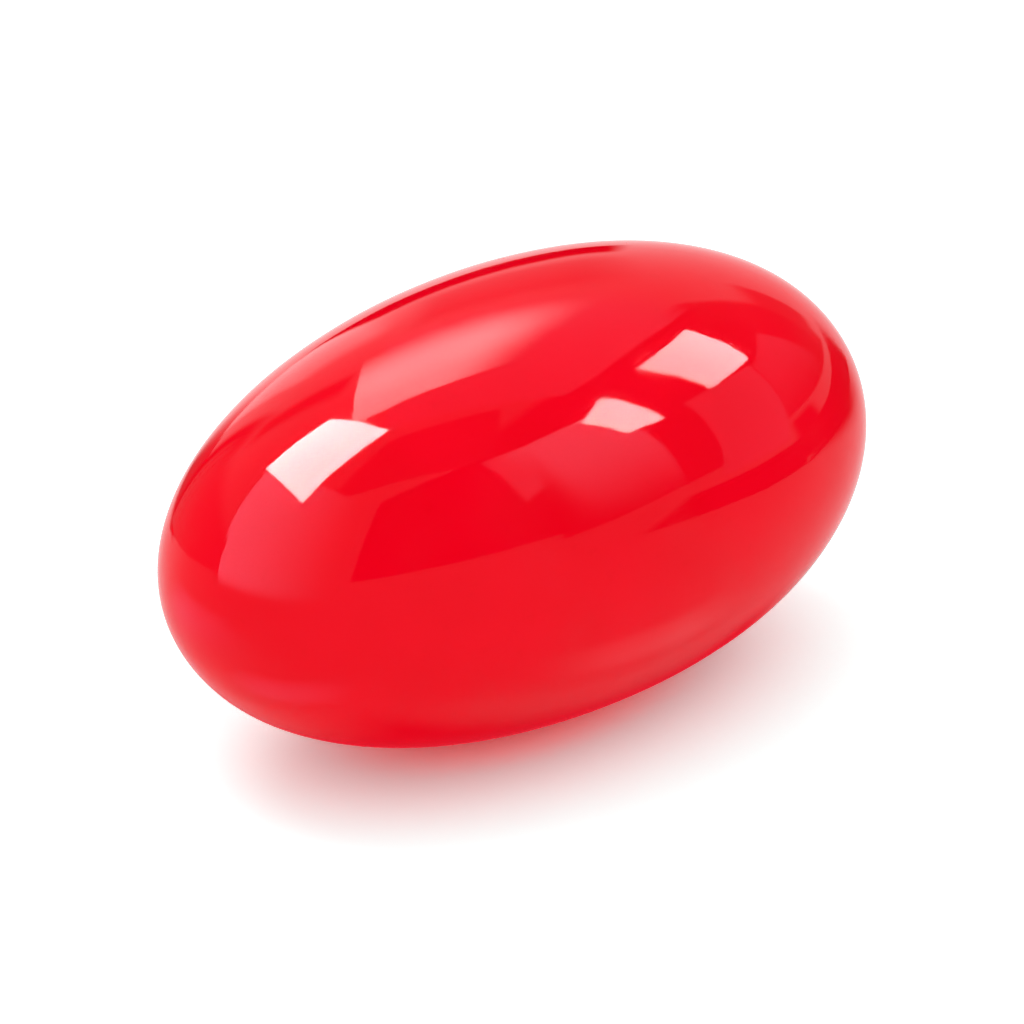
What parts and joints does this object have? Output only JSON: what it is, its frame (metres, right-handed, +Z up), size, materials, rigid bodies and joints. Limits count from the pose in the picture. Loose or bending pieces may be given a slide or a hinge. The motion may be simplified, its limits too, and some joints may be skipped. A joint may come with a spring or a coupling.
{
  "type": "jelly bean",
  "caption": "Glossy red jelly bean: a plump, slightly egg-shaped sweet with a polished sugar shell, lying on its side.",
  "frame": {"origin": "on the surface the bean rests on, under the middle of its box", "axes": "+X along the bean's length towards its blunter end, +Z up from the surface it rests on"},
  "size_m": [0.021, 0.0122, 0.0114],
  "materials": {
    "red_shell": null
  },
  "bodies": {
    "root": {"jelly_bean": "red_shell"}
  },
  "joints": []
}
